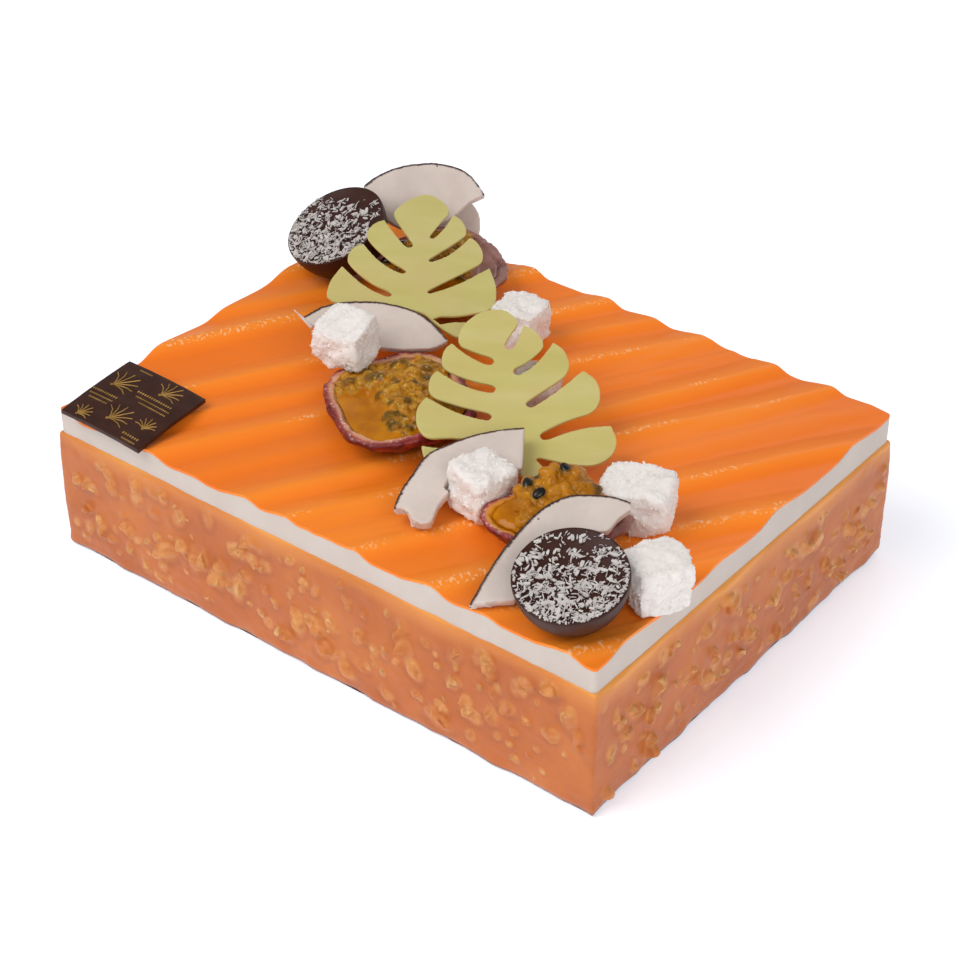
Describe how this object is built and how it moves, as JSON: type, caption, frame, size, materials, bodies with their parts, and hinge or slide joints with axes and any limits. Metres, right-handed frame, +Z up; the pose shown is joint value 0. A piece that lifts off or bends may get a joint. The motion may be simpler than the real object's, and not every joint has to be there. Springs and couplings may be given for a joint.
{
  "type": "entremet",
  "caption": "Rectangular mousse cake on a nut-coated base, with a combed orange glaze and toppings of passion fruit, coconut, chocolate leaves and chocolate half spheres.",
  "frame": {"origin": "middle of the flat underside of the nut-coated block", "axes": "+X along the block's length, towards the end with the larger chocolate half sphere; +Y across it, away from the side seen at the left of the picture; +Z up"},
  "size_m": [0.1991, 0.1528, 0.0779],
  "materials": {
    "nut_coating": "satin, coated nuts",
    "white_mousse": "smooth, matt",
    "orange_glaze": "smooth, soft shine",
    "dark_chocolate": "satin",
    "dark_chocolate_coconut": "satin, with coconut shreds",
    "green_chocolate": "satin",
    "fruit_rind": "wrinkled, satin",
    "fruit_pulp": "wet",
    "coconut_flesh": "moist, satin",
    "grated_coconut": "rough, matt"
  },
  "bodies": {
    "root": {"base": "nut_coating", "mousse": "white_mousse", "glaze": "orange_glaze", "chocolate_square": "dark_chocolate", "chocolate_dome_front": "dark_chocolate_coconut", "chocolate_dome_back": "dark_chocolate_coconut", "leaf_back": "green_chocolate", "leaf_front": "green_chocolate", "passion_fruit_middle_rind": "fruit_rind", "passion_fruit_middle_pulp": "fruit_pulp", "passion_fruit_front_rind": "fruit_rind", "passion_fruit_front_pulp": "fruit_pulp", "passion_fruit_back_rind": "fruit_rind", "passion_fruit_back_pulp": "fruit_pulp", "coconut_slice_back": "coconut_flesh", "coconut_slice_left": "coconut_flesh", "coconut_slice_middle": "coconut_flesh", "coconut_slice_front": "coconut_flesh", "coconut_slice_far": "coconut_flesh", "coconut_cube_left": "grated_coconut", "coconut_cube_back": "grated_coconut", "coconut_cube_middle": "grated_coconut", "coconut_cube_right": "grated_coconut", "coconut_cube_front": "grated_coconut", "coconut_cube_under_leaf": "grated_coconut"}
  },
  "joints": []
}
